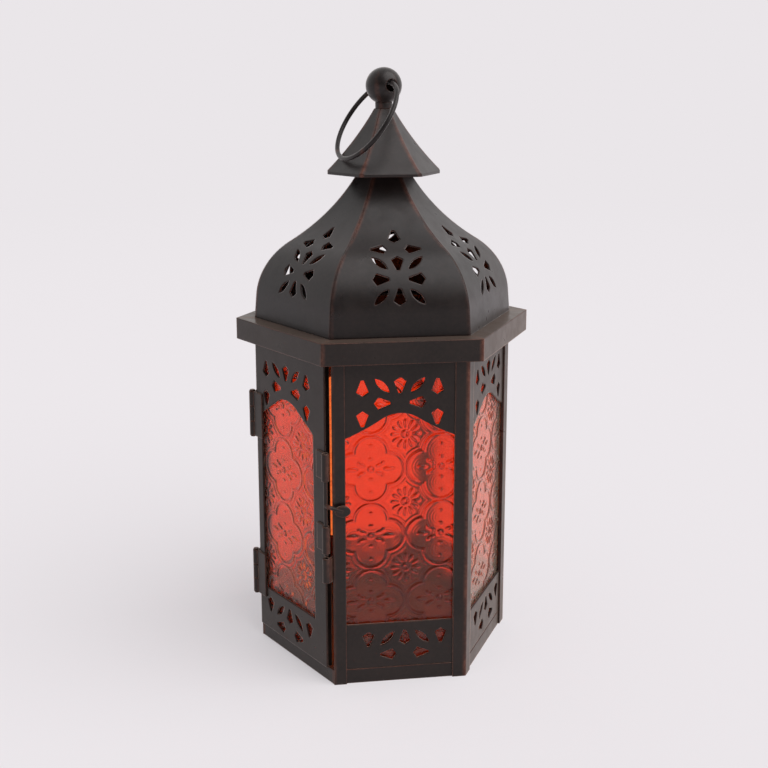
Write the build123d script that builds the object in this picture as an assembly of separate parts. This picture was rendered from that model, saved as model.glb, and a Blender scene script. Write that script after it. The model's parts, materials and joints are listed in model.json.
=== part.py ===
from build123d import *
import os
from math import asin, atan2, cos, hypot, radians, sin, sqrt, tan

# A six-sided sheet-metal candle lantern with red pressed-glass panes.
# Millimetres, +Z up, origin at the middle of the flat base.
# Side 0 faces -Y and carries the door. The sides are numbered counter-clockwise from it.
# Every side is drawn at side 0, where s runs along +X, d outwards along -Y and z upwards.

# Sheet and fits
SHEET = 0.8
BEND_R = 1.2
SEAM_GAP = 0.05
SLIP_GAP = 0.2
RUN_GAP = 0.3
PIN_FIT = 0.05
WIRE_FIT = 0.1

# Body
SIDE_COUNT = 6
BODY_R = 62.0
BODY_H = 162.1
RIM_H = 6.9
POST_LEG = 6.3
POST_RETURN = 3.0
PANEL_LIP = 2.8
GLASS_T = 2.0
GLASS_PLAY = 0.1
GLASS_DROP = 10.8

# Arched window
APRON_H = 21.9
ARCH_DROP = 44.5
ARCH_RISE = 11.0
ARCH_CROWN_R = 15.0
ARCH_SLOPE = 33.0

# Punched openings
KITE_L = 7.4
KITE_W = 5.6
KITE_TIP = 1.3
KITE_CROWN = 1.9
LEAF_L = 9.2
LEAF_W = 3.1
PETAL_R = 8.0
CORNER_OUT = 16.8
CORNER_RISE = 7.0
FRIEZE_RISE = 4.7
APRON_RISE = 0.4
APRON_SHIFT = 2.3
SIDE_KITE_OUT = 7.6
SIDE_KITE_UP = 16.0
TOP_KITE_UP = 23.8

# Door
DOOR_PROUD = 1.5
DOOR_HINGE_GAP = 2.4
DOOR_GUIDE_GAP = 0.2
DOOR_FOOT_GAP = 0.8
DOOR_DROP = 10.4
DOOR_STILE_HINGE = 4.2
DOOR_STILE_LATCH = 9.0
DOOR_EDGE = 1.1
HEADER_GAP = 0.8

# Door hinges
HINGE_ASIDE = 0.7
HINGE_LIFT = 0.4
HINGE_BARREL_R = 1.6
HINGE_PIN_R = 0.8
HINGE_L = 22.0
HINGE_UPPER_DROP = 35.7
HINGE_LOWER_RISE = 27.2
HINGE_LEAF = 6.8
PIN_HEAD_R = 1.25
PIN_HEAD_H = 0.6

# Wire slide bolt
BOLT_LIFT = 1.0
BOLT_R = 0.9
BOLT_BARREL_R = 1.7
BOLT_L = 46.0
BOLT_TAIL = 1.2
GUIDE_UPPER_RISE = 11.6
GUIDE_LOWER_FALL = 22.4
GUIDE_UPPER_L = 12.6
GUIDE_LOWER_L = 12.6
GUIDE_LEAF = 6.5
KEEPER_GAP = 1.3
KEEPER_L = 11.5
HANDLE_DROP = 64.2
HANDLE_OUT = 2.1
HANDLE_L = 6.4
HANDLE_FALL = 2.4
HANDLE_BEND = 1.3
PADDLE_L = 7.0
PADDLE_H = 5.0
PADDLE_T = 1.2

# Cornice
CORNICE_OUT = 8.7
CORNICE_DROP = 10.0
CORNICE_LEDGE = 5.3

# Ogee dome
DOME_INSET = 0.0
DOME_WALL = 11.0
DOME_LEAN = 4.0
DOME_SHOULDER_R = 33.8
DOME_SLOPE = 55.0
DOME_NECK_R = 10.1
DOME_RISE = 72.2
FLOWER_UP = 25.8

# Roof cap and finial
CAP_EAVE_R = 27.3
CAP_CORNER = 0.7
CAP_LIP = 1.2
CAP_SKIRT = 3.7
CAP_RISE = 29.0
CAP_TOP_R = 4.5
CAP_HOLLOW = 1.1
CROWN_T = 1.2
NECK_R = 4.0
NECK_H = 3.0
BALL_R = 8.45
BALL_HOLE_R = 2.85
STEM_R = 2.0
STEM_TAIL = 3.0
STEM_HEAD_R = 3.0
STEM_HEAD_H = 1.6
NUT_FLATS = 7.0
NUT_T = 3.2
WASHER_R = 4.5

# Carry ring
RING_R = 20.6
RING_WIRE_R = 1.1
RING_RISE = 1.6
RING_SLEW = 7.0
RING_CLEAR = 1.0
RING_TURN = -10.0

# Candle
CUP_GAP = 1.7
CUP_H = 9.0
CANDLE_R = 19.0

# Derived places on the body
HALF_TURN = 180 / SIDE_COUNT
FLAT = cos(radians(HALF_TURN))
MITRE = SHEET / FLAT
TRAY_R = BODY_R - MITRE
POST_D = BODY_R * FLAT
PANEL_D = POST_D - SHEET
SIDE_HALF = BODY_R * sin(radians(HALF_TURN))
PANEL_DEPTH = 2 * SHEET + GLASS_T + GLASS_PLAY
PANEL_IN = PANEL_D - PANEL_DEPTH
PANEL_HALF = PANEL_IN * tan(radians(HALF_TURN)) - SLIP_GAP
GLASS_TOP = BODY_H - GLASS_DROP
WINDOW_HALF = SIDE_HALF - POST_LEG
WINDOW_SILL = RIM_H + APRON_H
WINDOW_SPRING = BODY_H - ARCH_DROP
WINDOW_APEX = WINDOW_SPRING + ARCH_RISE

# Derived places on the door: the bolt stands against the keeper's leaf, and the door ends short of its guides
DOOR_FACE_D = POST_D + DOOR_PROUD
DOOR_IN = DOOR_FACE_D - PANEL_DEPTH
DOOR_FOOT = RIM_H + DOOR_FOOT_GAP
DOOR_TOP = BODY_H - DOOR_DROP
HINGE_S = -SIDE_HALF - HINGE_ASIDE
HINGE_D = DOOR_FACE_D + HINGE_LIFT
BOLT_BORE_R = BOLT_R + WIRE_FIT
BOLT_D = DOOR_FACE_D + BOLT_LIFT
BOLT_S = (BOLT_D * sin(radians(HALF_TURN)) - BOLT_BARREL_R - SHEET / 2) / FLAT
DOOR_LEFT = DOOR_HINGE_GAP - SIDE_HALF
DOOR_RIGHT = BOLT_S - BOLT_BARREL_R - DOOR_GUIDE_GAP
HANDLE_Z = DOOR_TOP - HANDLE_DROP
GUIDE_UPPER_Z = HANDLE_Z + GUIDE_UPPER_RISE
GUIDE_LOWER_Z = HANDLE_Z - GUIDE_LOWER_FALL
BOLT_FOOT_Z = GUIDE_LOWER_Z - BOLT_TAIL
KEEPER_Z = BOLT_FOOT_Z - KEEPER_GAP - KEEPER_L

# Derived places on the roof
CORNICE_R = BODY_R + CORNICE_OUT
CORNICE_TOP = BODY_H + SHEET
DOME_R = BODY_R - DOME_INSET
CORNICE_HOLE_R = DOME_R - CORNICE_LEDGE
DOME_D = DOME_R * FLAT
DOME_TOP = CORNICE_TOP + DOME_RISE
CAP_EAVE_Z = DOME_TOP - CAP_SKIRT
CAP_TOP_Z = CAP_EAVE_Z + CAP_RISE
CAP_EAVE_D = CAP_EAVE_R * FLAT
CAP_TOP_D = CAP_TOP_R * FLAT
BALL_Z = CAP_TOP_Z + NECK_H + sqrt(BALL_R ** 2 - NECK_R ** 2)
CUP_R = CANDLE_R + CUP_GAP + SHEET

os.makedirs("parts", exist_ok=True)


def save(name, shape):
    export_step(shape, f"parts/{name}.step")


def block(s0, s1, d0, d1, z0, z1):
    """A box between two places along the side, two depths and two heights."""
    middle = Pos((s0 + s1) / 2, -(d0 + d1) / 2, (z0 + z1) / 2)
    return middle * Box(s1 - s0, d1 - d0, z1 - z0)


def rod(s, d, radius, z0, z1):
    """An upright cylinder at one place of side 0."""
    return Pos(s, -d, (z0 + z1) / 2) * Cylinder(radius, z1 - z0)


def plate(outline, d_in, d_out):
    """A flat outline in s and z, as thick as the space between two depths."""
    face_plane = Plane(origin=(0, -d_in, 0), x_dir=(1, 0, 0), z_dir=(0, -1, 0))
    return extrude(face_plane * outline, d_out - d_in)


def on_side(shape, side):
    """Carry a shape from side 0 to another side."""
    return Rot(0, 0, side * 360 / SIDE_COUNT) * shape


def side_place(x, y, side):
    """Along and outwards from the axis on one side, for a place in the plan."""
    angle = radians(-90 + side * 360 / SIDE_COUNT)
    return -x * sin(angle) + y * cos(angle), x * cos(angle) + y * sin(angle)


def prism(radius, z0, z1):
    """An upright prism with the lantern's plan, by its corner radius."""
    outline = RegularPolygon(radius, SIDE_COUNT, rotation=-90 - HALF_TURN)
    return Pos(0, 0, z0) * extrude(outline, z1 - z0)


# Punches

def kite(turn):
    """The kite punch, its blunt tip pointing down before it is turned."""
    half = KITE_L / 2
    shoulder = half - KITE_CROWN
    outline = Polyline(
        (-KITE_TIP / 2, -half),
        (KITE_TIP / 2, -half),
        (KITE_W / 2, shoulder),
        (0, half),
        (-KITE_W / 2, shoulder),
        close=True,
    )
    return Rot(0, 0, turn) * make_face(outline)


def leaf(turn):
    """The leaf punch, a lens that stands upright before it is turned."""
    half = LEAF_L / 2
    right = ThreePointArc((0, -half), (LEAF_W / 2, 0), (0, half))
    left = ThreePointArc((0, half), (-LEAF_W / 2, 0), (0, -half))
    return Rot(0, 0, turn) * make_face(right + left)


def petals(angles):
    """Kites on the axes and leaves on the diagonals, with their tips at the flower's middle."""
    placed = []
    for angle in angles:
        on_axis = angle % 90 == 0
        reach = PETAL_R if on_axis else PETAL_R * sqrt(2)
        place = (reach * cos(radians(angle)), reach * sin(radians(angle)))
        placed.append((place, kite(angle - 90) if on_axis else leaf(angle - 90)))
    return placed


def frieze_punches():
    """The nine openings above a window, about the middle of their half flower."""
    placed = petals((0, 45, 90, 135, 180))
    for hand in (-1, 1):
        placed.append(((hand * CORNER_OUT, CORNER_RISE), kite(180)))
        placed.append(((hand * CORNER_OUT, -CORNER_RISE), kite(0)))
    return placed


def apron_punches():
    """The seven openings below a window, about the middle of their hanging half flower."""
    placed = petals((225, 270, 315))
    for hand in (-1, 1):
        placed.append(((hand * CORNER_OUT, -PETAL_R), kite(0)))
        placed.append(((hand * SIDE_KITE_OUT, -2 * PETAL_R), kite(90 * hand)))
    return placed


def dome_punches():
    """The eleven openings of a dome gore, about the middle of its whole flower."""
    placed = petals(range(0, 360, 45))
    for hand in (-1, 1):
        placed.append(((hand * SIDE_KITE_OUT, SIDE_KITE_UP), kite(90 * hand)))
    placed.append(((0, TOP_KITE_UP), kite(180)))
    return placed


def punch_flat(panel, placed, s, z, d_in, d_out):
    """Cut a group of openings through a flat sheet, about one place on it."""
    for (across, up), shape in placed:
        panel -= plate(Pos(s + across, z + up) * shape, d_in - SHEET, d_out + SHEET)
    return panel


# Pierced panels

def arched_window(left, right):
    """A window with a low bell arch: a round crown between two hollow shoulders."""
    middle = (left + right) / 2
    reach = ARCH_CROWN_R * sin(radians(ARCH_SLOPE))
    fall = ARCH_CROWN_R * (1 - cos(radians(ARCH_SLOPE)))
    crown_right = (middle + reach, WINDOW_APEX - fall)
    crown_left = (middle - reach, WINDOW_APEX - fall)
    run = (cos(radians(ARCH_SLOPE)), -sin(radians(ARCH_SLOPE)))
    edges = Line((left, WINDOW_SILL), (right, WINDOW_SILL))
    edges += Line((right, WINDOW_SILL), (right, WINDOW_SPRING))
    edges += TangentArc(crown_right, (right, WINDOW_SPRING), tangent=run)
    edges += ThreePointArc(crown_left, (middle, WINDOW_APEX), crown_right)
    edges += TangentArc(crown_left, (left, WINDOW_SPRING), tangent=(-run[0], run[1]))
    edges += Line((left, WINDOW_SPRING), (left, WINDOW_SILL))
    return make_face(edges)


def folded_panel(left, right, edge, foot, top, d_face, d_back, window_left, window_right, apron_shift):
    """A pierced sheet with a folded channel behind it for the glass, short of one side by an edge."""
    d_sheet = d_face - SHEET
    fold = right - edge
    panel = block(left, right, d_sheet, d_face, foot, top)
    panel += block(left, fold, d_back, d_face, foot, foot + SHEET)
    panel += block(left, left + SHEET, d_back, d_face, foot, top)
    panel += block(fold - SHEET, fold, d_back, d_face, foot, top)
    panel += block(left, left + PANEL_LIP, d_back, d_back + SHEET, foot, top)
    panel += block(fold - PANEL_LIP, fold, d_back, d_back + SHEET, foot, top)
    front_edges = panel.edges().filter_by(Axis.X).group_by(Axis.Y)[0]
    panel = fillet(front_edges.sort_by(Axis.Z)[0], SHEET * 0.75)
    middle = (window_left + window_right) / 2
    panel -= plate(arched_window(window_left, window_right), d_sheet - SHEET, d_face + SHEET)
    panel = punch_flat(panel, frieze_punches(), middle, WINDOW_APEX + FRIEZE_RISE, d_sheet, d_face)
    apron_z = WINDOW_SILL + APRON_RISE
    return punch_flat(panel, apron_punches(), middle + apron_shift, apron_z, d_sheet, d_face)


def side_panels():
    panel = folded_panel(
        -PANEL_HALF, PANEL_HALF, 0, RIM_H, BODY_H, PANEL_D, PANEL_IN, -WINDOW_HALF, WINDOW_HALF, APRON_SHIFT
    )
    reach = PANEL_HALF - SHEET - SLIP_GAP
    d_back = PANEL_IN + SHEET
    pane = block(-reach, reach, d_back, d_back + GLASS_T, RIM_H + SHEET, GLASS_TOP)
    for side in range(1, SIDE_COUNT):
        save(f"side_panel_{side}", on_side(panel, side))
        save(f"side_glass_{side}", on_side(pane, side))


# Frame

def base_tray():
    tray = prism(TRAY_R, 0, RIM_H) - prism(TRAY_R - MITRE, SHEET, RIM_H + SHEET)
    save("base_tray", tray)


def post_corner(angle):
    """The outer corner of a post and the directions outwards and round to the next side."""
    out = Vector(cos(radians(angle)), sin(radians(angle)))
    round_to = Vector(-sin(radians(angle)), cos(radians(angle)))
    return out * BODY_R, out, round_to


def leg_run(out, round_to, hand):
    """Along and square to the side that meets the corner on one hand."""
    half = radians(HALF_TURN)
    run = round_to * (hand * cos(half)) - out * sin(half)
    square = round_to * (hand * sin(half)) + out * cos(half)
    return run, square


def upright(points, corner, bend):
    """A folded strip with this plan, as tall as the body, its outer bend rounded."""
    strip = extrude(make_face(Polyline(*points, close=True)), BODY_H)
    upright_edges = strip.edges().filter_by(Axis.Z)
    return fillet(upright_edges.sort_by_distance((corner.X, corner.Y, BODY_H / 2))[0], bend)


def corner_post(angle):
    """An angle strip over the corner of two fixed sides."""
    corner, out, round_to = post_corner(angle)
    inner = corner - out * MITRE
    next_run, next_square = leg_run(out, round_to, 1)
    last_run, last_square = leg_run(out, round_to, -1)
    next_end = corner + next_run * POST_LEG
    last_end = corner + last_run * POST_LEG
    back_ends = (last_end - last_square * SHEET, inner, next_end - next_square * SHEET)
    return upright([next_end, corner, last_end, *back_ends], corner, BEND_R)


def door_post(angle, hand):
    """A strip beside the door: one leg on the fixed side, and its other edge turned inwards."""
    corner, out, round_to = post_corner(angle)
    run, square = leg_run(out, round_to, hand)
    end = corner + run * POST_LEG
    lip = corner - out * POST_RETURN
    aside = round_to * (hand * SHEET)
    inner = corner + aside - out * (SHEET / tan(radians(45 - HALF_TURN / 2)))
    points = [end, corner, lip, lip + aside, inner, end - square * SHEET]
    return upright(points, corner, BEND_R / 2) - prism(TRAY_R, -SHEET, RIM_H)


def posts():
    first = -90 - HALF_TURN
    save("hinge_post", door_post(first, -1))
    save("latch_post", door_post(first + 2 * HALF_TURN, 1))
    for number in range(1, SIDE_COUNT - 1):
        save(f"corner_post_{number}", corner_post(first + (number + 1) * 2 * HALF_TURN))


def door_header():
    """The strip that ties the door posts together under the cornice."""
    foot = DOOR_TOP + HEADER_GAP
    reach = PANEL_HALF
    strip = block(-reach, reach, PANEL_D - SHEET, PANEL_D, foot, BODY_H)
    strip += block(-reach, reach, PANEL_IN, PANEL_D, BODY_H - SHEET, BODY_H)
    save("door_header", strip)


def cornice():
    foot = CORNICE_TOP - CORNICE_DROP
    tray = prism(CORNICE_R, foot, CORNICE_TOP) - prism(CORNICE_R - MITRE, foot - SHEET, BODY_H)
    tray -= prism(CORNICE_HOLE_R, BODY_H - SHEET, CORNICE_TOP + SHEET)
    save("cornice", tray)


# Ogee dome

def dome_sweep():
    """Radius and angle of the hollow arc that leads from the shoulder up to the neck."""
    lean = radians(DOME_LEAN)
    slope = radians(DOME_SLOPE)
    shoulder_in = DOME_WALL * sin(lean) + DOME_SHOULDER_R * (cos(lean) - cos(slope))
    shoulder_up = DOME_WALL * cos(lean) + DOME_SHOULDER_R * (sin(slope) - sin(lean))
    run = DOME_D - shoulder_in - DOME_NECK_R * FLAT
    rise = DOME_RISE - shoulder_up
    chord = hypot(run, rise)
    radius = chord ** 2 / (2 * (rise * sin(slope) - run * cos(slope)))
    return radius, 2 * asin(chord / (2 * radius))


def dome_lengths():
    """Where the shoulder begins and ends and where the sheet ends, measured up the sheet."""
    turn_end = DOME_WALL + DOME_SHOULDER_R * radians(DOME_SLOPE - DOME_LEAN)
    radius, angle = dome_sweep()
    return DOME_WALL, turn_end, turn_end + radius * angle


def dome_place(length):
    """Depth, height and lean of the dome's outside, at a length measured up the sheet."""
    lean = radians(DOME_LEAN)
    slope = radians(DOME_SLOPE)
    wall_end, turn_end, _ = dome_lengths()
    on_wall = min(length, wall_end)
    turn = lean + max(min(length, turn_end) - wall_end, 0) / DOME_SHOULDER_R
    d = DOME_D - on_wall * sin(lean) - DOME_SHOULDER_R * (cos(lean) - cos(turn))
    z = CORNICE_TOP + on_wall * cos(lean) + DOME_SHOULDER_R * (sin(turn) - sin(lean))
    if length <= turn_end:
        return d, z, turn
    radius, _ = dome_sweep()
    back = slope - (length - turn_end) / radius
    d -= radius * (cos(back) - cos(slope))
    z += radius * (sin(slope) - sin(back))
    return d, z, back


def dome_gore():
    """One pierced gore: the ogee profile drawn across, mitred at both seams."""
    wall_end, turn_end, top = dome_lengths()
    ends = (0, wall_end, (wall_end + turn_end) / 2, turn_end, (turn_end + top) / 2, top)
    skins = []
    for depth in (0, SHEET):
        skin = []
        for length in ends:
            d, z, lean = dome_place(length)
            skin.append((d - depth * cos(lean), z - depth * sin(lean)))
        skins.append(skin)
    outer, inner = skins
    inner[0] = (DOME_D - SHEET / cos(radians(DOME_LEAN)), CORNICE_TOP)
    edges = Line(outer[0], inner[0]) + Line(outer[5], inner[5])
    for skin in skins:
        edges += Line(skin[0], skin[1])
        edges += ThreePointArc(skin[1], skin[2], skin[3])
        edges += ThreePointArc(skin[3], skin[4], skin[5])
    across = Plane(origin=(0, 0, 0), x_dir=(0, -1, 0), z_dir=(-1, 0, 0))
    sheet = extrude(across * make_face(edges), DOME_R, both=True)
    reach = 2 * DOME_R
    side = reach * tan(radians(HALF_TURN))
    wedge = make_face(Polyline((0, 0), (-side, -reach), (side, -reach), close=True))
    seam = SEAM_GAP / sin(radians(HALF_TURN))
    sheet = sheet & (Pos(0, -seam, 0) * extrude(wedge, DOME_TOP))
    for (s, up), shape in dome_punches():
        d, z, lean = dome_place(FLOWER_UP + up)
        tangent = Plane(origin=(s, -d, z), x_dir=(1, 0, 0), z_dir=(0, -cos(lean), sin(lean)))
        sheet -= extrude(tangent * shape, 3 * SHEET, both=True)
    return sheet


def dome():
    gore = dome_gore()
    for side in range(SIDE_COUNT):
        save(f"dome_gore_{side + 1}", on_side(gore, side))


# Roof cap and finial

def cap_curve():
    """Middle, centre and radius of the hollow curve from the cap's eave to its top."""
    run = CAP_EAVE_D - CAP_TOP_D
    rise = CAP_TOP_Z - CAP_EAVE_Z
    chord = hypot(run, rise)
    radius = (chord ** 2 / 4 + CAP_HOLLOW ** 2) / (2 * CAP_HOLLOW)
    normal = (rise / chord, run / chord)
    half_way = ((CAP_EAVE_D + CAP_TOP_D) / 2, (CAP_EAVE_Z + CAP_TOP_Z) / 2)
    middle = (half_way[0] - normal[0] * CAP_HOLLOW, half_way[1] - normal[1] * CAP_HOLLOW)
    centre = (middle[0] + normal[0] * radius, middle[1] + normal[1] * radius)
    return middle, centre, radius


def cap_depth(z):
    """Depth of the cap's outside at one height."""
    _, centre, radius = cap_curve()
    return centre[0] - sqrt(radius ** 2 - (z - centre[1]) ** 2)


def cap_wall():
    """The cap's sheet measured level, on its mean slope."""
    slope = atan2(CAP_EAVE_D - CAP_TOP_D, CAP_TOP_Z - CAP_EAVE_Z)
    return SHEET / cos(slope)


def cap_solid(inset):
    """The cap filled in, drawn in by a level distance."""
    middle, _, _ = cap_curve()
    eave = (CAP_EAVE_D - inset, CAP_EAVE_Z)
    bulge = (middle[0] - inset, middle[1])
    top = (CAP_TOP_D - inset, CAP_TOP_Z)

    def mirrored(point):
        return (-point[0], point[1])

    edges = ThreePointArc(eave, bulge, top) + Line(top, mirrored(top))
    edges += ThreePointArc(mirrored(top), mirrored(bulge), mirrored(eave)) + Line(mirrored(eave), eave)
    across = Plane(origin=(0, 0, 0), x_dir=(0, -1, 0), z_dir=(-1, 0, 0))
    bar = extrude(across * make_face(edges), 2 * CAP_EAVE_R, both=True)
    solid = bar
    for side in range(1, SIDE_COUNT // 2):
        solid = solid & on_side(bar, side)
    return solid


def roof_cap():
    """The hollow cap, its eave turned down and its corners rounded off."""
    lip_foot = CAP_EAVE_Z - CAP_LIP
    wall = cap_wall()
    hollow = cap_solid(wall) & prism(CAP_EAVE_R, 0, CAP_TOP_Z - SHEET)
    hollow += prism(CAP_EAVE_R - wall / FLAT, lip_foot - SHEET, CAP_EAVE_Z)
    cap = cap_solid(0) + prism(CAP_EAVE_R, lip_foot, CAP_EAVE_Z) - hollow
    cap -= rod(0, 0, STEM_R + WIRE_FIT, CAP_EAVE_Z, CAP_TOP_Z + SHEET)
    save("roof_cap", cap & rod(0, 0, CAP_EAVE_R - CAP_CORNER, lip_foot, CAP_TOP_Z))


def crown_plate():
    """The plate on the dome's top that holds the cap off the gores."""
    top = DOME_TOP + CROWN_T
    reach = cap_depth(top) - cap_wall() - SLIP_GAP / 2
    disc = prism(reach / FLAT, DOME_TOP, top)
    save("crown_plate", disc - rod(0, 0, STEM_R + WIRE_FIT, DOME_TOP - SHEET, top + SHEET))


def finial():
    hole = rod(0, 0, STEM_R + WIRE_FIT, CAP_EAVE_Z, BALL_Z)
    ball = Pos(0, 0, BALL_Z) * (Sphere(BALL_R) - Sphere(BALL_R - SHEET))
    cross = Pos(0, 0, BALL_Z) * Rot(0, 0, RING_TURN) * Rot(0, 90, 0) * Cylinder(BALL_HOLE_R, 3 * BALL_R)
    save("finial_ball", ball - hole - cross)
    seat = BALL_Z - sqrt(BALL_R ** 2 - NECK_R ** 2)
    neck = rod(0, 0, NECK_R, CAP_TOP_Z, seat) - Pos(0, 0, BALL_Z) * Sphere(BALL_R + SEAM_GAP)
    save("finial_neck", neck - hole)
    inside_r = BALL_R - SHEET
    head_z = BALL_Z - sqrt(inside_r ** 2 - STEM_HEAD_R ** 2) + SEAM_GAP
    nut_foot = DOME_TOP - SHEET - NUT_T
    stem = rod(0, 0, STEM_R, nut_foot - STEM_TAIL, head_z)
    stem += rod(0, 0, STEM_HEAD_R, head_z, head_z + STEM_HEAD_H)
    save("finial_stem", stem)
    bore = rod(0, 0, STEM_R + PIN_FIT, nut_foot - SHEET, DOME_TOP + SHEET)
    save("stem_washer", rod(0, 0, WASHER_R, DOME_TOP - SHEET, DOME_TOP) - bore)
    nut = extrude(RegularPolygon(NUT_FLATS / 2, 6, major_radius=False), NUT_T)
    save("stem_nut", Pos(0, 0, nut_foot) * nut - bore)


def ring_frame(lean):
    """The ring's middle and its directions across and down the ring, which hangs askew, at one lean."""
    turn = radians(RING_TURN)
    slew = radians(RING_SLEW)
    hole = Vector(cos(turn), sin(turn), 0)
    down = Vector(sin(turn) * sin(lean), -cos(turn) * sin(lean), -cos(lean))
    axle = hole * cos(slew) - down * sin(slew)
    hang = down * cos(slew) + hole * sin(slew)
    middle = Vector(0, 0, BALL_Z) - down * RING_RISE + hang * RING_R
    return middle, axle, hang


def ring_gap(lean):
    """Smallest level gap between the ring's wire and the cap, at one lean."""
    middle, axle, hang = ring_frame(lean)
    gaps = []
    for degree in range(0, 360, 2):
        angle = radians(degree)
        point = middle + (axle * cos(angle) + hang * sin(angle)) * RING_R
        if point.Z < CAP_TOP_Z:
            depth = max(side_place(point.X, point.Y, side)[1] for side in range(SIDE_COUNT))
            gaps.append(depth - cap_depth(point.Z) - RING_WIRE_R)
    return min(gaps, default=RING_CLEAR)


def ring_lean():
    """The lean at which the ring rests just clear of the cap."""
    low = 0
    high = radians(90)
    while high - low > radians(0.01):
        lean = (low + high) / 2
        if ring_gap(lean) < RING_CLEAR:
            low = lean
        else:
            high = lean
    return high


def carry_ring():
    """The wire ring, hung through the ball and leaning on the cap."""
    middle, axle, hang = ring_frame(ring_lean())
    flat = Plane(origin=middle, x_dir=axle, z_dir=axle.cross(hang))
    save("carry_ring", flat * Torus(RING_R, RING_WIRE_R))


# Door

def door():
    panel = folded_panel(
        DOOR_LEFT, DOOR_RIGHT, DOOR_EDGE, DOOR_FOOT, DOOR_TOP, DOOR_FACE_D, DOOR_IN,
        DOOR_LEFT + DOOR_STILE_HINGE, DOOR_RIGHT - DOOR_STILE_LATCH, 0,
    )
    fold = DOOR_RIGHT - DOOR_EDGE
    panel += block(DOOR_LEFT, fold, DOOR_IN, DOOR_FACE_D, DOOR_TOP - SHEET, DOOR_TOP)
    save("door_panel", panel)
    inset = SHEET + SLIP_GAP
    d_back = DOOR_IN + SHEET
    pane = block(
        DOOR_LEFT + inset, fold - inset, d_back, d_back + GLASS_T, DOOR_FOOT + SHEET, DOOR_TOP - inset
    )
    save("door_glass", pane)


def hinge(name, middle):
    """A rolled hinge: the door holds the two end knuckles and the post the middle one."""
    foot = middle - HINGE_L / 2
    top = middle + HINGE_L / 2
    knuckle = (HINGE_L - 2 * RUN_GAP) / 3
    clear = HINGE_BARREL_R + RUN_GAP
    bore = rod(HINGE_S, HINGE_D, HINGE_PIN_R + PIN_FIT, foot - SHEET, top + SHEET)
    leaf_end = HINGE_S + clear + HINGE_LEAF
    door_leaf = block(HINGE_S + clear, leaf_end, DOOR_FACE_D, DOOR_FACE_D + SHEET, foot, top)
    for z in (foot, top - knuckle):
        door_leaf += rod(HINGE_S, HINGE_D, HINGE_BARREL_R, z, z + knuckle)
        door_leaf += block(HINGE_S, leaf_end, DOOR_FACE_D, DOOR_FACE_D + SHEET, z, z + knuckle)
    save(f"hinge_door_leaf_{name}", door_leaf - bore)
    s, d = side_place(HINGE_S, -HINGE_D, -1)
    drop = d - POST_D - SHEET
    clear_s = s - sqrt(clear ** 2 - drop ** 2)
    mid_foot = foot + knuckle + RUN_GAP
    post_leaf = block(clear_s - HINGE_LEAF + clear, clear_s, POST_D, POST_D + SHEET, foot, top)
    post_leaf += block(clear_s - RUN_GAP, s, POST_D, POST_D + SHEET, mid_foot, mid_foot + knuckle)
    post_leaf = on_side(post_leaf, -1) + rod(HINGE_S, HINGE_D, HINGE_BARREL_R, mid_foot, mid_foot + knuckle)
    save(f"hinge_post_leaf_{name}", post_leaf - bore)
    pin = rod(HINGE_S, HINGE_D, HINGE_PIN_R, foot, top)
    pin += rod(HINGE_S, HINGE_D, PIN_HEAD_R, top + PIN_FIT, top + PIN_HEAD_H)
    pin += rod(HINGE_S, HINGE_D, PIN_HEAD_R, foot - PIN_HEAD_H, foot - PIN_FIT)
    pin += rod(HINGE_S, HINGE_D, HINGE_PIN_R, foot - PIN_HEAD_H, top + PIN_HEAD_H)
    save(f"hinge_pin_{name}", pin)


def bolt_guide(name, foot, length):
    """A rolled guide on the door's free edge."""
    bore = rod(BOLT_S, BOLT_D, BOLT_BORE_R, foot - SHEET, foot + length + SHEET)
    guide = rod(BOLT_S, BOLT_D, BOLT_BARREL_R, foot, foot + length)
    leaf_end = BOLT_S - BOLT_BORE_R
    guide += block(leaf_end - GUIDE_LEAF, leaf_end, DOOR_FACE_D, DOOR_FACE_D + SHEET, foot, foot + length)
    save(f"bolt_guide_{name}", guide - bore)


def bolt_keeper():
    """The rolled keeper, its leaf turned in through the gap against the latch post."""
    angle = HALF_TURN - 90
    corner, out, round_to = post_corner(angle)
    reach = Vector(BOLT_S, -BOLT_D).dot(out)
    inner = BODY_R - POST_RETURN
    top = KEEPER_Z + KEEPER_L
    middle = Pos((inner + reach) / 2, -SHEET / 2, (KEEPER_Z + top) / 2)
    keeper = Rot(0, 0, angle) * middle * Box(reach - inner, SHEET, KEEPER_L)
    keeper += rod(BOLT_S, BOLT_D, BOLT_BARREL_R, KEEPER_Z, top)
    save("bolt_keeper", keeper - rod(BOLT_S, BOLT_D, BOLT_BORE_R, KEEPER_Z - SHEET, top + SHEET))


def latch_bolt():
    """The wire bolt, its handle bent round the corner and beaten flat at the end."""
    along = Vector(sin(radians(HALF_TURN)), cos(radians(HALF_TURN)))
    start = Vector(BOLT_S, -BOLT_D, HANDLE_Z)
    elbow = start + Vector(HANDLE_OUT, 0, 0)
    end = elbow + Vector(along.X * HANDLE_L, along.Y * HANDLE_L, -HANDLE_FALL)
    path = FilletPolyline(start, elbow, end, radius=HANDLE_BEND)
    section = Plane(origin=start, z_dir=path % 0) * Circle(BOLT_R)
    bolt = rod(BOLT_S, BOLT_D, BOLT_R, BOLT_FOOT_Z, BOLT_FOOT_Z + BOLT_L) + sweep(section, path=path)
    square = Vector(along.Y, -along.X, 0)
    flat = Plane(origin=end - square * (PADDLE_T / 2), x_dir=(along.X, along.Y, 0), z_dir=square)
    bolt += extrude(flat * Ellipse(PADDLE_L / 2, PADDLE_H / 2), PADDLE_T)
    save("latch_bolt", bolt)


# Candle

def candle():
    cup = Pos(0, 0, SHEET) * extrude(Circle(CUP_R), CUP_H)
    cup -= Pos(0, 0, 2 * SHEET) * extrude(Circle(CUP_R - SHEET), CUP_H)
    save("candle_cup", cup)


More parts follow.
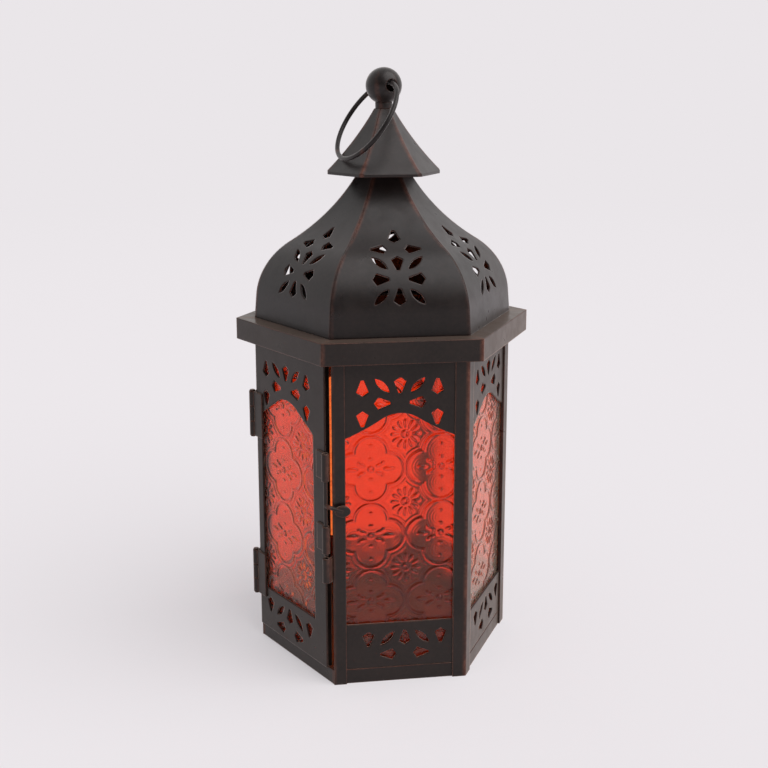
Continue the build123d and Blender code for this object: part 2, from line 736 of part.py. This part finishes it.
base_tray()
posts()
side_panels()
door_header()
cornice()
dome()
crown_plate()
roof_cap()
finial()
carry_ring()
door()
hinge("upper", DOOR_TOP - HINGE_UPPER_DROP)
hinge("lower", DOOR_FOOT + HINGE_LOWER_RISE)
bolt_guide("upper", GUIDE_UPPER_Z, GUIDE_UPPER_L)
bolt_guide("lower", GUIDE_LOWER_Z, GUIDE_LOWER_L)
bolt_keeper()
latch_bolt()
candle()
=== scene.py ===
import json
from math import radians

import bpy
import numpy as np
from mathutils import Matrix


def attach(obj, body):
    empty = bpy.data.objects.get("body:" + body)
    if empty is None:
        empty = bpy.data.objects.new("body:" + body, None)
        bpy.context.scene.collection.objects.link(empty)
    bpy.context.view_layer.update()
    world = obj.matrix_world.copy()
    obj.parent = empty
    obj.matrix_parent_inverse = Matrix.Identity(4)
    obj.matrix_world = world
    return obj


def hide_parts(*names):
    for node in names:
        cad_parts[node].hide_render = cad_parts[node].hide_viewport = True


# A six-sided candle lantern in aged black metal with red pressed-glass panes.
# Metres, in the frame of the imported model. Side 0 faces -Y and carries the door.

MM = 0.001

# Camera and light
LOOK_AT = (0.0, 0.0, 0.16603)
CAMERA_TURN = 52.24
CAMERA_DROP = 11.08
CAMERA_ROLL = -0.06
CAMERA_DISTANCE = 0.53303
CAMERA_LENS = 51.808
CAMERA_SHIFT = -0.10
SENSOR = 36.0
FAR_CLIP = 100.0
STUDIO_WHITE = (0.823, 0.791, 0.815)
SKY_TINT = (1.0, 0.985, 0.995)
SKY_LEVEL = 0.47
DARK_FROM = 0.15
DARK_FULL = 0.95
DARK_SIDE = 0.15
SUN_LEVEL = 2.45
SUN_SPREAD = 70.0
SUN_HEIGHT = 48.0
SUN_TURN = 112.0
FLOOR_HALF = 40.0
LIT_NEAR = 0.5
PLAIN_NEAR = 0.5
PLAIN_FAR = 2.2
MIDDLE = (0.0, 0.0, 0.140)

# Colours of the finishes, in pairs where a grain runs from one to the other
LACQUER = ((0.0050, 0.0040, 0.0040), (0.0125, 0.0086, 0.0078))
LACQUER_SPECK = (0.026, 0.016, 0.013)
COPPER = ((0.105, 0.034, 0.022), (0.200, 0.075, 0.048))
BARE_METAL = ((0.190, 0.165, 0.150), (0.270, 0.240, 0.220))
TIN = ((0.180, 0.155, 0.140), (0.280, 0.250, 0.230))
TIN_SPECK = (0.120, 0.085, 0.070)
RED_GLASS = ((0.992, 0.180, 0.036), (1.000, 0.205, 0.046))
# Deeper red painted on the pattern's slopes as shade, in place of the dark lines that refraction draws there
RED_PAINTED_SHADE = (0.480, 0.022, 0.010)
GLASS_BLOOM = (1.0, 0.94, 0.74)
BROWN_SHINE = (1.0, 0.89, 0.85)
GREY_SHINE = (1.0, 0.95, 0.95)
WARM_BLOOM = (1.0, 0.70, 0.55)
PALE_BLOOM = (1.0, 0.90, 0.88)

# Places of the wear
EDGE_WIDTH = 0.9 * MM
EDGE_SAMPLES = 8
SEAM_NEAR = 0.3 * MM
SEAM_FAR = 1.7 * MM
TRAY_FLOOR_Z = 2 * MM
TRAY_RIM_Z = 3 * MM
SOOT_FROM_Z = 60 * MM
SOOT_FULL_Z = 120 * MM
SOOT_LEFT_BARE = 0.1

# Pressed pattern of the panes, in millimetres
SIDE_COUNT = 6
GRID_STEP = 0.33
RELIEF_H = 0.55
FINE_PRESSED = 0.07
# Share of the painted slope shade that falls on the fine lines
FINE_PAINTED_SHADE = 0.32
PATTERN_PITCH = 31.7
LOBE_OUT = 7.6
LOBE_R = 7.6
FINE_PITCH = 1.28
PETALS = 12
PANE_BORDER = 1.2
SMOOTH_ANGLE = 50.0
PATTERN_PLACE = {
    "door_glass": (-7.7, 93.2),
    "side_glass_1": (-13.1, 102.6),
    "side_glass_2": (-4.5, 103.0),
    "side_glass_3": (4.0, 98.0),
    "side_glass_4": (-9.0, 91.0),
    "side_glass_5": (7.0, 101.0),
}

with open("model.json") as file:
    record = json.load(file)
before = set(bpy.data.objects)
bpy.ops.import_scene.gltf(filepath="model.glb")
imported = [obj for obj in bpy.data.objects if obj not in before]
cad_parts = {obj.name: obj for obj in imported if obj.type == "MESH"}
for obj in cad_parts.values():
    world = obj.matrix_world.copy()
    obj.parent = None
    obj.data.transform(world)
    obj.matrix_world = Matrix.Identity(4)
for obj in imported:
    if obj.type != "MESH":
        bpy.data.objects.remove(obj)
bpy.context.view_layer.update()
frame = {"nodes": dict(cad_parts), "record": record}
bpy.ops.object.select_all(action="DESELECT")
nodes = frame["nodes"]


# Materials

class Finish:
    """A material and its node tree, with short calls to add and join nodes."""

    def __init__(self, name):
        self.material = bpy.data.materials.new(name)
        self.material.use_nodes = True
        self.tree = self.material.node_tree
        self.surface = self.tree.nodes["Principled BSDF"]
        self.output = self.tree.nodes["Material Output"]
        self.place = self.add("ShaderNodeTexCoord").outputs["Object"]

    def add(self, kind, **settings):
        node = self.tree.nodes.new(kind)
        for key, value in settings.items():
            setattr(node, key, value)
        return node

    def join(self, source, target):
        self.tree.links.new(source, target)

    def set(self, **values):
        for key, value in values.items():
            self.surface.inputs[key.replace("_", " ")].default_value = value

    def noise(self, scale, detail=3.0, rough=0.55, stretch=(1, 1, 1)):
        """A grain with a scale per metre, drawn out along the axes where stretch says."""
        mapping = self.add("ShaderNodeMapping")
        mapping.inputs["Scale"].default_value = stretch
        self.join(self.place, mapping.inputs["Vector"])
        grain = self.add("ShaderNodeTexNoise")
        grain.inputs["Scale"].default_value = scale
        grain.inputs["Detail"].default_value = detail
        grain.inputs["Roughness"].default_value = rough
        self.join(mapping.outputs["Vector"], grain.inputs["Vector"])
        return grain.outputs["Fac"]

    def spread(self, value, low, high, to_low=0.0, to_high=1.0):
        """Stretch a value from one range to another, held at both ends."""
        node = self.add("ShaderNodeMapRange", clamp=True)
        node.inputs["From Min"].default_value = low
        node.inputs["From Max"].default_value = high
        node.inputs["To Min"].default_value = to_low
        node.inputs["To Max"].default_value = to_high
        self.join(value, node.inputs["Value"])
        return node.outputs["Result"]

    def sum(self, operation, first, second):
        node = self.add("ShaderNodeMath", operation=operation)
        for socket, value in zip(node.inputs, (first, second)):
            if isinstance(value, (int, float)):
                socket.default_value = value
            else:
                self.join(value, socket)
        return node.outputs["Value"]

    def blend(self, share, first, second):
        """Mix two colours, each a tuple or another node's colour."""
        node = self.add("ShaderNodeMix", data_type="RGBA")
        self.join(share, node.inputs["Factor"])
        for name, colour in (("A", first), ("B", second)):
            socket = [s for s in node.inputs if s.name == name and s.type == "RGBA"][0]
            if isinstance(colour, tuple):
                socket.default_value = (*colour, 1.0)
            else:
                self.join(colour, socket)
        return [s for s in node.outputs if s.type == "RGBA"][0]

    def bump(self, height, strength, distance, below=None):
        node = self.add("ShaderNodeBump")
        node.inputs["Strength"].default_value = strength
        node.inputs["Distance"].default_value = distance
        self.join(height, node.inputs["Height"])
        if below is not None:
            self.join(below, node.inputs["Normal"])
        return node.outputs["Normal"]

    def worn_edge(self):
        """Near 1 along outside edges, from the turn between the true and the rounded normal."""
        rounded = self.add("ShaderNodeBevel", samples=EDGE_SAMPLES)
        rounded.inputs["Radius"].default_value = EDGE_WIDTH
        true = self.add("ShaderNodeNewGeometry")
        turn = self.add("ShaderNodeVectorMath", operation="DOT_PRODUCT")
        self.join(rounded.outputs["Normal"], turn.inputs[0])
        self.join(true.outputs["Normal"], turn.inputs[1])
        return self.spread(turn.outputs["Value"], 0.995, 0.80), rounded.outputs["Normal"]


def seam_share(finish):
    """1 on the six upright corner lines of the lantern, fading to 0 at a distance from them."""
    parts = finish.add("ShaderNodeSeparateXYZ")
    finish.join(finish.place, parts.inputs["Vector"])
    turn = finish.sum("ARCTAN2", parts.outputs["Y"], parts.outputs["X"])
    off = finish.sum("PINGPONG", turn, radians(180 / SIDE_COUNT))
    flat = finish.add("ShaderNodeVectorMath", operation="MULTIPLY")
    flat.inputs[1].default_value = (1, 1, 0)
    finish.join(finish.place, flat.inputs[0])
    reach = finish.add("ShaderNodeVectorMath", operation="LENGTH")
    finish.join(flat.outputs["Vector"], reach.inputs[0])
    distance = finish.sum("MULTIPLY", finish.sum("SINE", off, 0.0), reach.outputs["Value"])
    return finish.spread(distance, SEAM_NEAR, SEAM_FAR, 1.0, 0.0)


def floor_share(finish):
    """1 on the tray's floor, 0 on the rest of the tray."""
    facing = finish.add("ShaderNodeSeparateXYZ")
    finish.join(finish.add("ShaderNodeNewGeometry").outputs["True Normal"], facing.inputs["Vector"])
    place = finish.add("ShaderNodeSeparateXYZ")
    finish.join(finish.place, place.inputs["Vector"])
    low = finish.spread(place.outputs["Z"], TRAY_FLOOR_Z, TRAY_RIM_Z, 1.0, 0.0)
    return finish.sum("MULTIPLY", finish.spread(facing.outputs["Z"], 0.7, 0.9), low)


def inner_share(finish):
    """1 on faces that look at the lantern's axis, less higher up where soot has blackened them, 0 elsewhere."""
    flat = finish.add("ShaderNodeVectorMath", operation="MULTIPLY")
    flat.inputs[1].default_value = (1, 1, 0)
    finish.join(finish.place, flat.inputs[0])
    out = finish.add("ShaderNodeVectorMath", operation="NORMALIZE")
    finish.join(flat.outputs["Vector"], out.inputs[0])
    facing = finish.add("ShaderNodeVectorMath", operation="DOT_PRODUCT")
    finish.join(out.outputs["Vector"], facing.inputs[0])
    finish.join(finish.add("ShaderNodeNewGeometry").outputs["True Normal"], facing.inputs[1])
    height = finish.add("ShaderNodeSeparateXYZ")
    finish.join(finish.place, height.inputs["Vector"])
    unsooted = finish.spread(height.outputs["Z"], SOOT_FROM_Z, SOOT_FULL_Z, 1.0, SOOT_LEFT_BARE)
    return finish.sum("MULTIPLY", finish.spread(facing.outputs["Value"], -0.45, -0.70), unsooted)


def aged_metal(name, edge_rub, seam_rub, tint, bloom, inside=inner_share):
    """Antiqued sheet: black-brown lacquer, rubbed through to copper along edges and seams, barer inside."""
    finish = Finish(name)
    cloud = finish.spread(finish.noise(38.0, 5.0), 0.35, 0.68)
    speck = finish.spread(finish.noise(620.0, 3.0, 0.6), 0.40, 0.72)
    lacquer = finish.blend(cloud, *LACQUER)
    lacquer = finish.blend(finish.sum("MULTIPLY", speck, 0.30), lacquer, LACQUER_SPECK)
    edge, rounded = finish.worn_edge()
    patch = finish.spread(finish.noise(70.0, 4.0, 0.65), 0.36, 0.60, edge_rub * 0.35, edge_rub)
    stroke = finish.spread(finish.noise(60.0, 4.0, 0.65, (1, 1, 0.4)), 0.38, 0.64, 0.0, seam_rub)
    seam = finish.sum("MULTIPLY", seam_share(finish), stroke)
    rub = finish.sum("MAXIMUM", finish.sum("MULTIPLY", edge, patch), seam)
    copper = finish.blend(speck, *COPPER)
    colour = finish.blend(rub, lacquer, copper)
    if inside:
        bare = finish.blend(cloud, *BARE_METAL)
        colour = finish.blend(inside(finish), colour, bare)
    finish.join(colour, finish.surface.inputs["Base Color"])
    finish.join(finish.sum("MULTIPLY", rub, 0.30), finish.surface.inputs["Metallic"])
    gloss = finish.spread(finish.noise(150.0, 4.0), 0.3, 0.7, 0.27, 0.40)
    finish.join(gloss, finish.surface.inputs["Roughness"])
    dents = finish.bump(finish.noise(55.0, 2.0), 0.25, 0.5 * MM, rounded)
    finish.join(finish.bump(speck, 0.10, 0.06 * MM, dents), finish.surface.inputs["Normal"])
    finish.set(Specular_IOR_Level=0.34, Specular_Tint=(*tint, 1.0))
    finish.set(Sheen_Weight=0.5, Sheen_Roughness=0.3, Sheen_Tint=(*bloom, 1.0))
    return finish.material


def bare_tin():
    """Dull tinplate, for the candle cup."""
    finish = Finish("bare_tin")
    cloud = finish.spread(finish.noise(60.0, 5.0, 0.6), 0.3, 0.7)
    speck = finish.spread(finish.noise(500.0, 3.0), 0.45, 0.75)
    colour = finish.blend(cloud, *TIN)
    colour = finish.blend(finish.sum("MULTIPLY", speck, 0.4), colour, TIN_SPECK)
    finish.join(colour, finish.surface.inputs["Base Color"])
    finish.join(finish.spread(cloud, 0.0, 1.0, 0.38, 0.55), finish.surface.inputs["Roughness"])
    finish.join(finish.bump(speck, 0.12, 0.08 * MM), finish.surface.inputs["Normal"])
    finish.set(Metallic=0.35)
    return finish.material


def red_pressed_glass():
    """Red glass, a little hazy, with painted shade: a deeper red along the flanks of the pressed pattern,
    standing in for the dark lines that refraction draws there.
    """
    finish = Finish("red_pressed_glass")
    melt = finish.spread(finish.noise(45.0, 2.0), 0.3, 0.7)
    colour = finish.blend(melt, *RED_GLASS)
    flank_shade = finish.add("ShaderNodeAttribute", attribute_name="flank_shade").outputs["Fac"]
    # Painted shade: the glass turns deeper red where the pattern slopes
    colour = finish.blend(finish.sum("MULTIPLY", flank_shade, 0.70), colour, RED_PAINTED_SHADE)
    finish.join(colour, finish.surface.inputs["Base Color"])
    haze = finish.spread(finish.noise(240.0, 3.0), 0.3, 0.7, 0.13, 0.18)
    finish.join(haze, finish.surface.inputs["Roughness"])
    finish.join(finish.bump(finish.noise(330.0, 2.0), 0.08, 0.12 * MM), finish.surface.inputs["Normal"])
    finish.set(Transmission_Weight=0.97, IOR=1.45)
    finish.set(Sheen_Weight=0.6, Sheen_Roughness=0.35, Sheen_Tint=(*GLASS_BLOOM, 1.0))
    return finish.material


def dress_nodes():
    """Give every CAD node its finish: pierced sheets, plain frame pieces and the roof differ in their wear."""
    frame_metal = aged_metal("aged_metal_frame", 0.85, 0.85, BROWN_SHINE, WARM_BLOOM)
    sheet_metal = aged_metal("aged_metal_sheet", 0.30, 0.60, BROWN_SHINE, WARM_BLOOM)
    roof_metal = aged_metal("aged_metal_roof", 0.30, 0.65, GREY_SHINE, PALE_BLOOM, None)
    tray_metal = aged_metal("aged_metal_tray", 0.85, 0.85, BROWN_SHINE, WARM_BLOOM, floor_share)
    tin = bare_tin()
    glass = red_pressed_glass()
    for part in frame["record"]["subparts"]:
        name = part["node"]
        if part["material_slot"] == "red_glass":
            finish = glass
        elif name == "candle_cup":
            finish = tin
        elif name == "base_tray":
            finish = tray_metal
        elif name.startswith(("dome", "roof", "finial", "carry")):
            finish = roof_metal
        elif name.startswith(("side_panel", "door_panel")):
            finish = sheet_metal
        else:
            finish = frame_metal
        mesh = nodes[name].data
        mesh.materials.clear()
        mesh.materials.append(finish)
    return glass


# Pressed-glass panes

def ridge(distance, width):
    """A rounded line, 1 high on its middle."""
    return np.exp(-(distance / width) ** 2)


def spindle(x, y, middle, turn, half_length, half_width):
    """A petal that swells in its middle, 1 high, with its length along the turn."""
    cosine = np.cos(turn)
    sine = np.sin(turn)
    along = (x - middle[0]) * cosine + (y - middle[1]) * sine
    across = -(x - middle[0]) * sine + (y - middle[1]) * cosine
    rest = 1 - (along / half_length) ** 2 - (across / half_width) ** 2
    return np.sqrt(np.clip(rest, 0, 1))


def medallion(x, y, fine):
    """A four-lobed medallion with a beaded flower that lies across it, in a field of fine lines."""
    quarters = ((1, 0), (-1, 0), (0, 1), (0, -1))
    lobes = [np.hypot(x - LOBE_OUT * a, y - LOBE_OUT * b) for a, b in quarters]
    outline = np.min(lobes, axis=0) - LOBE_R
    height = np.maximum(0.80 * ridge(outline, 0.62), 0.34 * ridge(outline - 2.1, 0.45))
    reach = np.hypot(x, y)
    height = np.maximum(height, 0.95 * ridge(reach - 0.95, 0.45))
    for side in (1, -1):
        petal = spindle(x, y, (8.3 * side, 0), 0, half_length=2.7, half_width=1.0)
        bud = spindle(x, y, (0, 4.8 * side), 0, half_length=1.1, half_width=0.75)
        bead = spindle(x, y, (0, 10.9 * side), 0, half_length=0.9, half_width=0.7)
        for shape, rise in ((petal, 0.95), (bud, 0.70), (bead, 0.55)):
            height = np.maximum(height, rise * shape)
        for up in (1, -1):
            lean = 0.30 * side * up
            leaf = spindle(x, y, (3.9 * side, 1.9 * up), lean, half_length=1.7, half_width=0.8)
            curl = spindle(x, y, (5.5 * side, 2.9 * up), 0, half_length=0.8, half_width=0.9)
            height = np.maximum(height, 0.85 * np.maximum(leaf, curl))
    inside = 1 / (1 + np.exp((outline + 1.5) / 0.25))
    lines = 0.5 + 0.5 * np.cos(2 * np.pi * outline / FINE_PITCH)
    return height + fine * lines * inside * (1 - np.clip(2 * height, 0, 1))


def daisy(x, y):
    """A twelve-petal daisy round a ring."""
    reach = np.hypot(x, y)
    turn = np.arctan2(y, x)
    step = 2 * np.pi / PETALS
    off = (turn + step / 2) % step - step / 2
    along = reach * np.cos(off)
    across = reach * np.sin(off)
    height = 0.85 * ridge(reach - 1.35, 0.50)
    width = np.clip(0.14 * along + 0.10, 0.3, 1.0)
    petal = np.clip(1 - ((along - 4.9) / 2.1) ** 2 - (across / width) ** 2, 0, 1)
    return np.maximum(height, 0.85 * np.sqrt(petal))


def pressed_height(s, z, place, fine):
    """Height of the pattern, from 0 to 1, at places on a pane in millimetres, with fine lines this high."""
    half = PATTERN_PITCH / 2
    x = (s - place[0] + half) % PATTERN_PITCH - half
    y = (z - place[1] + half) % PATTERN_PITCH - half
    between_x = (s - place[0]) % PATTERN_PITCH - half
    between_y = (z - place[1]) % PATTERN_PITCH - half
    return np.maximum(medallion(x, y, fine), daisy(between_x, between_y))


def slope_painted_shade(s, z, place):
    """Share of the painted shade, a deeper red standing in for refraction's dark lines: most on the pattern's
    slopes, some on its fine lines.
    """
    step = 0.5 * GRID_STEP
    moves = ((step, 0), (-step, 0), (0, step), (0, -step))
    right, left, above, below = [pressed_height(s + a, z + b, place, 0) for a, b in moves]
    slope = np.hypot(right - left, above - below) / (2 * step)
    lines = pressed_height(s, z, place, 1) - pressed_height(s, z, place, 0)
    return slope + FINE_PAINTED_SHADE * lines


def side_directions(side):
    """Along, and outwards from, one side of the body."""
    angle = radians(-90 + side * 360 / SIDE_COUNT)
    return np.array((-np.sin(angle), np.cos(angle), 0)), np.array((np.cos(angle), np.sin(angle), 0))


def mesh_points(mesh):
    points = np.empty(len(mesh.vertices) * 3)
    mesh.vertices.foreach_get("co", points)
    return points.reshape(-1, 3)


def pressed_pane(node, side, body, material):
    """A pane in the place of its plain solid, its outer face pressed with the pattern."""
    along, out = side_directions(side)
    points = mesh_points(nodes[node].data)
    s = points @ along
    d = points @ out
    z = points[:, 2]
    columns = int((s.max() - s.min()) / (GRID_STEP * MM))
    rows = int((z.max() - z.min()) / (GRID_STEP * MM))
    bpy.ops.object.select_all(action="DESELECT")
    bpy.ops.mesh.primitive_grid_add(x_subdivisions=columns, y_subdivisions=rows, size=1)
    pane = bpy.context.object
    pane.name = "pressed_" + node
    mesh = pane.data
    flat = mesh_points(mesh)
    across = s.min() + (flat[:, 0] + 0.5) * (s.max() - s.min())
    up = z.min() + (flat[:, 1] + 0.5) * (z.max() - z.min())
    edge = np.min((across - s.min(), s.max() - across, up - z.min(), z.max() - up), axis=0)
    fade = np.clip(edge / (PANE_BORDER * MM), 0, 1)
    pattern = (across / MM, up / MM, PATTERN_PLACE[node])
    relief = pressed_height(*pattern, FINE_PRESSED) * fade
    depth = d.max() - RELIEF_H * MM * (1 - np.clip(relief, 0, 1))
    placed = across[:, None] * along + depth[:, None] * out
    placed[:, 2] = up
    mesh.vertices.foreach_set("co", placed.ravel())
    mesh.update()
    # Share of painted shade at each point, read by the glass material
    flank_shade = mesh.attributes.new("flank_shade", "FLOAT", "POINT")
    flank_shade.data.foreach_set("value", np.clip(slope_painted_shade(*pattern) * fade, 0, 1))
    bpy.ops.object.mode_set(mode="EDIT")
    bpy.ops.mesh.select_mode(type="EDGE")
    bpy.ops.mesh.select_all(action="DESELECT")
    bpy.ops.mesh.select_non_manifold()
    back = -out * (d.max() - RELIEF_H * MM - d.min())
    bpy.ops.mesh.extrude_region_move(TRANSFORM_OT_translate={"value": tuple(back)})
    bpy.ops.mesh.edge_face_add()
    bpy.ops.mesh.select_all(action="SELECT")
    bpy.ops.mesh.normals_make_consistent(inside=False)
    bpy.ops.object.mode_set(mode="OBJECT")
    bpy.ops.object.shade_smooth_by_angle(angle=radians(SMOOTH_ANGLE))
    mesh.materials.append(material)
    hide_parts(node)
    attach(pane, body)


def panes(material):
    """The door's pane rides on the door, the other five on the lantern."""
    pressed_pane("door_glass", 0, "door_leaf", material)
    for side in range(1, SIDE_COUNT):
        pressed_pane(f"side_glass_{side}", side, "lantern", material)


# Stage

def camera_place():
    drop = radians(CAMERA_DROP)
    turn = radians(CAMERA_TURN)
    back = np.array((np.sin(turn) * np.cos(drop), -np.cos(turn) * np.cos(drop), np.sin(drop)))
    return np.array(LOOK_AT) + CAMERA_DISTANCE * back


def ray_share(tree, *rays):
    """1 for a ray of any of these kinds."""
    path = tree.nodes.new("ShaderNodeLightPath")
    share = path.outputs[rays[0]]
    for ray in rays[1:]:
        either = tree.nodes.new("ShaderNodeMath")
        either.operation = "MAXIMUM"
        tree.links.new(share, either.inputs[0])
        tree.links.new(path.outputs[ray], either.inputs[1])
        share = either.outputs["Value"]
    return share


def studio_world():
    """An even pale studio, with a dark side that gloss and glass show, and white as a backdrop."""
    world = bpy.data.worlds.new("studio")
    bpy.context.scene.world = world
    world.use_nodes = True
    tree = world.node_tree
    light = tree.nodes["Background"]
    light.inputs["Color"].default_value = (*SKY_TINT, 1.0)
    light.inputs["Strength"].default_value = SKY_LEVEL
    room = tree.nodes.new("ShaderNodeBackground")
    facing = tree.nodes.new("ShaderNodeVectorMath")
    facing.operation = "DOT_PRODUCT"
    back = camera_place() - np.array(MIDDLE)
    facing.inputs[1].default_value = back / np.linalg.norm(back)
    tree.links.new(tree.nodes.new("ShaderNodeTexCoord").outputs["Generated"], facing.inputs[0])
    level = tree.nodes.new("ShaderNodeMapRange")
    level.inputs["From Min"].default_value = DARK_FROM
    level.inputs["From Max"].default_value = DARK_FULL
    level.inputs["To Min"].default_value = 1.0
    level.inputs["To Max"].default_value = DARK_SIDE
    tree.links.new(facing.outputs["Value"], level.inputs["Value"])
    tree.links.new(level.outputs["Result"], room.inputs["Strength"])
    seen = tree.nodes.new("ShaderNodeBackground")
    seen.inputs["Color"].default_value = (*STUDIO_WHITE, 1.0)
    through = tree.nodes.new("ShaderNodeMixShader")
    tree.links.new(ray_share(tree, "Is Glossy Ray", "Is Transmission Ray"), through.inputs["Fac"])
    tree.links.new(light.outputs["Background"], through.inputs[1])
    tree.links.new(room.outputs["Background"], through.inputs[2])
    choose = tree.nodes.new("ShaderNodeMixShader")
    tree.links.new(ray_share(tree, "Is Camera Ray"), choose.inputs["Fac"])
    tree.links.new(through.outputs["Shader"], choose.inputs[1])
    tree.links.new(seen.outputs["Background"], choose.inputs[2])
    tree.links.new(choose.outputs["Shader"], tree.nodes["World Output"].inputs["Surface"])


def pale_floor():
    """The pale floor: half lit near the lantern, so that it keeps the shadow, and plain further off."""
    bpy.ops.object.select_all(action="DESELECT")
    bpy.ops.mesh.primitive_plane_add(size=2 * FLOOR_HALF, location=(0, 0, 0))
    floor = bpy.context.object
    floor.name = "studio_floor"
    finish = Finish("studio_floor")
    finish.set(Base_Color=(*STUDIO_WHITE, 1.0), Roughness=1.0, Specular_IOR_Level=0.0)
    pale = finish.add("ShaderNodeEmission")
    pale.inputs["Color"].default_value = (*STUDIO_WHITE, 1.0)
    white = finish.add("ShaderNodeEmission")
    half = finish.add("ShaderNodeMixShader")
    away = finish.add("ShaderNodeVectorMath", operation="LENGTH")
    finish.join(finish.place, away.inputs[0])
    plain = finish.spread(away.outputs["Value"], LIT_NEAR, PLAIN_FAR, PLAIN_NEAR, 1.0)
    shares = ray_share(finish.tree, "Is Camera Ray", "Is Glossy Ray")
    finish.join(finish.sum("MULTIPLY", shares, plain), half.inputs["Fac"])
    finish.join(finish.surface.outputs["BSDF"], half.inputs[1])
    finish.join(pale.outputs["Emission"], half.inputs[2])
    through = finish.add("ShaderNodeMixShader")
    finish.join(ray_share(finish.tree, "Is Transmission Ray"), through.inputs["Fac"])
    finish.join(half.outputs["Shader"], through.inputs[1])
    finish.join(white.outputs["Emission"], through.inputs[2])
    finish.join(through.outputs["Shader"], finish.output.inputs["Surface"])
    floor.data.materials.append(finish.material)


def soft_sun():
    sun = bpy.data.lights.new("soft_sun", "SUN")
    sun.energy = SUN_LEVEL
    sun.angle = radians(SUN_SPREAD)
    lamp = bpy.data.objects.new("soft_sun", sun)
    lamp.rotation_euler = (radians(90 - SUN_HEIGHT), 0, radians(SUN_TURN))
    bpy.context.collection.objects.link(lamp)


def photo_camera():
    camera = bpy.data.cameras.new("camera")
    camera.lens = CAMERA_LENS
    camera.sensor_width = SENSOR
    camera.shift_y = CAMERA_SHIFT
    camera.clip_end = FAR_CLIP
    eye = bpy.data.objects.new("camera", camera)
    eye.location = camera_place()
    eye.rotation_euler = (radians(90 - CAMERA_DROP), 0, radians(CAMERA_TURN))
    eye.rotation_euler.rotate_axis("Z", radians(CAMERA_ROLL))
    bpy.context.collection.objects.link(eye)
    bpy.context.scene.camera = eye


panes(dress_nodes())
studio_world()
pale_floor()
soft_sun()
photo_camera()
bpy.context.scene.view_settings.view_transform = "Standard"
